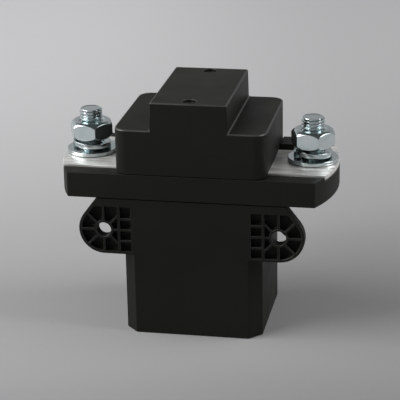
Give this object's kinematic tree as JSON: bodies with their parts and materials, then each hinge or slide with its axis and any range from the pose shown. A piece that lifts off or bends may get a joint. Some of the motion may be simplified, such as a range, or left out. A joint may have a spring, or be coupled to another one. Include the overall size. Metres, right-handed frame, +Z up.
{
  "type": "high voltage dc contactor",
  "caption": "Black moulded DC contactor with ribbed mounting ears, a stepped cover on a wide terminal deck, threaded stud terminals on bare metal plates, and a coil socket at the back.",
  "frame": {"origin": "centre of the coil housing's flat underside, on the axis of the plunger", "axes": "+Z up along the plunger's axis, +X along the terminal deck towards the right-hand terminal, -Y out of the flat side that carries the mounting ears"},
  "size_m": [0.12, 0.0656, 0.1049],
  "materials": {
    "black_moulding": "fine-grained satin moulding",
    "tinned_plate": "tin-plated copper with brushed scratches",
    "zinc_steel": "blue-white zinc plating",
    "black_screw": "black oxide",
    "soft_iron": "plain soft iron",
    "copper_bar": "bare copper",
    "silver_alloy": "silver contact alloy",
    "brass_part": "plain brass",
    "spring_steel": "bright spring steel",
    "natural_nylon": "natural glass-filled nylon",
    "enamelled_wire": "enamelled copper wire",
    "ferrite_magnet": "sintered ferrite",
    "rubber_part": "matt black rubber"
  },
  "bodies": {
    "housing": {"lower_housing": "black_moulding", "terminal_deck": "black_moulding", "arc_cover": "black_moulding", "terminal_plate_left": "tinned_plate", "terminal_plate_right": "tinned_plate", "terminal_stud_left": "zinc_steel", "terminal_stud_right": "zinc_steel", "flat_washer_left": "zinc_steel", "flat_washer_right": "zinc_steel", "spring_washer_left": "zinc_steel", "spring_washer_right": "zinc_steel", "hex_nut_left": "zinc_steel", "hex_nut_right": "zinc_steel", "cover_screw_front": "black_screw", "cover_screw_back": "black_screw", "threaded_insert_front": "brass_part", "threaded_insert_back": "brass_part", "yoke_screw_left_front": "zinc_steel", "yoke_screw_left_back": "zinc_steel", "yoke_screw_right_front": "zinc_steel", "yoke_screw_right_back": "zinc_steel", "yoke": "soft_iron", "yoke_plate": "soft_iron", "fixed_core": "soft_iron", "base_pad": "rubber_part", "deck_gasket": "rubber_part", "bobbin": "natural_nylon", "coil_winding": "enamelled_wire", "guide_sleeve": "brass_part", "coil_pin_left": "brass_part", "coil_pin_right": "brass_part", "fixed_contact_left": "silver_alloy", "fixed_contact_right": "silver_alloy", "blowout_magnet_left_front": "ferrite_magnet", "blowout_magnet_left_back": "ferrite_magnet", "blowout_magnet_right_front": "ferrite_magnet", "blowout_magnet_right_back": "ferrite_magnet", "return_spring": "spring_steel"},
    "plunger": {"plunger": "soft_iron", "plunger_shaft": "spring_steel", "contact_spring": "spring_steel", "spring_retainer": "spring_steel", "shaft_clip": "spring_steel"},
    "bridge": {"contact_bridge": "copper_bar", "moving_contact_left": "silver_alloy", "moving_contact_right": "silver_alloy", "bridge_bush": "natural_nylon", "spring_seat": "spring_steel"}
  },
  "joints": [
    {"name": "plunger_slide", "type": "slide", "parent": "housing", "child": "plunger", "axis": [0, 0, -1], "range_m": [0, 0.003], "stiffness_N_per_m": 800, "springref_m": -0.005, "deforming": ["return_spring"]},
    {"name": "bridge_slide", "type": "slide", "parent": "plunger", "child": "bridge", "axis": [0, 0, 1], "range_m": [0, 0.0008], "stiffness_N_per_m": 1500, "springref_m": -0.002, "deforming": ["contact_spring"]}
  ],
  "couplings": [
    {"joint": "bridge_slide", "follows": "plunger_slide", "ratio": 0.25}
  ]
}
